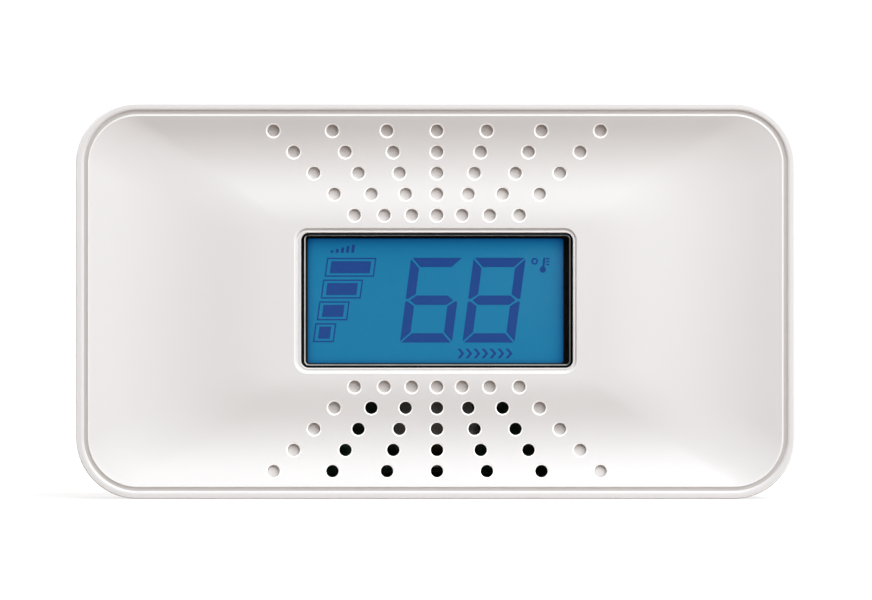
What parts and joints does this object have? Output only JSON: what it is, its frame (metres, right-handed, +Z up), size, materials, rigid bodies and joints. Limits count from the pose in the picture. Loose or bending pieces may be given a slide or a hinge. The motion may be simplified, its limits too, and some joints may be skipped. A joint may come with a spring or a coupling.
{
  "type": "carbon monoxide detector",
  "caption": "White rectangular carbon monoxide detector with a dished face, a central lit display, fans of round vents above and below it, a test button on top and a power slider at the back.",
  "frame": {"origin": "middle of the footprint, on the surface that the detector stands on", "axes": "+X to the right of someone facing the display, -Y out of the display, +Z up"},
  "size_m": [0.152, 0.038, 0.0837],
  "materials": {
    "white_case": "fine satin texture",
    "black_plastic": "satin",
    "label_film": "blank satin film",
    "clear_lens": "polished clear",
    "polariser_film": "clear grey film",
    "display_glass": "lit blue with darker segments",
    "light_guide": "polished clear",
    "white_reflector": "bright white film",
    "led_plastic": "glossy",
    "conductive_rubber": "matte",
    "solder_mask": "satin green",
    "foam": "matte closed-cell foam",
    "brass": "satin",
    "zinc_steel": "zinc plated",
    "nickel": "nickel plated",
    "sensor_metal": "satin",
    "charcoal_filter": "matte charcoal felt",
    "cell_sleeve": "shrink sleeve",
    "grey_plastic": "satin",
    "chip_epoxy": "fine matte",
    "ferrite": "matte",
    "capacitor_can": "sleeved",
    "red_insulation": "satin",
    "black_insulation": "satin",
    "bead_epoxy": "dipped epoxy"
  },
  "bodies": {
    "case": {"front_cover": "white_case", "rear_cover": "white_case", "rear_label": "label_film", "display_lens": "clear_lens", "display_holder": "black_plastic", "front_polariser": "polariser_film", "lcd_front_glass": "display_glass", "lcd_rear_glass": "display_glass", "rear_polariser": "polariser_film", "light_guide": "light_guide", "reflector_sheet": "white_reflector", "backlight_led": "led_plastic", "contact_strip_upper": "conductive_rubber", "contact_strip_lower": "conductive_rubber", "circuit_board": "solder_mask", "horn_cup": "black_plastic", "horn_gasket": "foam", "piezo_plate": "brass", "horn_base": "black_plastic", "tact_switch_body": "chip_epoxy", "slide_switch_body": "zinc_steel", "battery_cell": "cell_sleeve", "battery_cradle": "grey_plastic", "battery_tab_positive": "nickel", "battery_tab_negative": "nickel", "battery_lead_red": "red_insulation", "battery_lead_black": "black_insulation", "sensor_can": "sensor_metal", "sensor_filter": "charcoal_filter", "sensor_cap": "zinc_steel", "microcontroller": "chip_epoxy", "electrolytic_capacitor": "capacitor_can", "horn_inductor": "ferrite", "programming_header": "black_plastic", "thermistor": "bead_epoxy", "case_screw_1": "zinc_steel", "case_screw_2": "zinc_steel", "case_screw_3": "zinc_steel", "case_screw_4": "zinc_steel", "board_screw_1": "zinc_steel", "board_screw_2": "zinc_steel", "board_screw_3": "zinc_steel", "board_screw_4": "zinc_steel"},
    "button": {"test_button": "white_case"},
    "switch_plunger": {"tact_switch_plunger": "black_plastic"},
    "slider": {"power_slider": "black_plastic", "slide_switch_lever": "black_plastic"}
  },
  "joints": [
    {"name": "button_press", "type": "slide", "parent": "case", "child": "button", "axis": [0, 0, -1], "range_m": [0, 0.001], "stiffness_N_per_m": 500, "springref_m": -0.001},
    {"name": "plunger_press", "type": "slide", "parent": "case", "child": "switch_plunger", "axis": [0, 0, -1], "range_m": [0, 0.001]},
    {"name": "power_slide", "type": "slide", "parent": "case", "child": "slider", "axis": [-1, 0, 0], "range_m": [0, 0.004]}
  ],
  "couplings": [
    {"joint": "plunger_press", "follows": "button_press", "ratio": 1}
  ]
}
